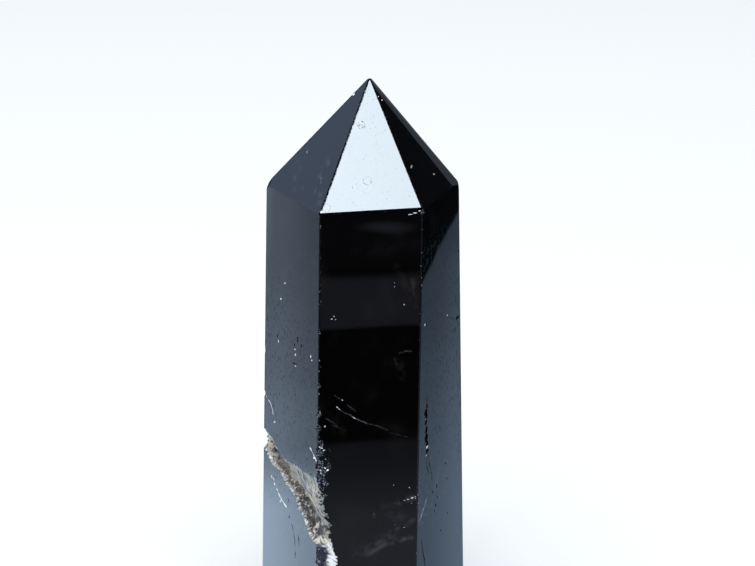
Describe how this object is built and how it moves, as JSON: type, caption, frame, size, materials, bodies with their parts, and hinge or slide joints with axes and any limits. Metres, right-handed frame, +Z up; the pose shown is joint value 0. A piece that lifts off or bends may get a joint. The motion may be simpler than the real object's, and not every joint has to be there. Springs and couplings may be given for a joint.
{
  "type": "morion quartz point",
  "caption": "Upright polished point of near-black smoky quartz: a hexagonal prism with a faceted tip, a rough fracture scar on one side and a flat sawn base.",
  "frame": {"origin": "middle of the bounding box at the sawn base, on the surface that the point stands on", "axes": "+Z up along the crystal to its tip, -Y towards the broad front face, +X to the right of it"},
  "size_m": [0.0326, 0.0302, 0.0897],
  "materials": {
    "black_quartz": "polished, near-black, with a rough pale scar"
  },
  "bodies": {
    "root": {"quartz_point": "black_quartz"}
  },
  "joints": []
}
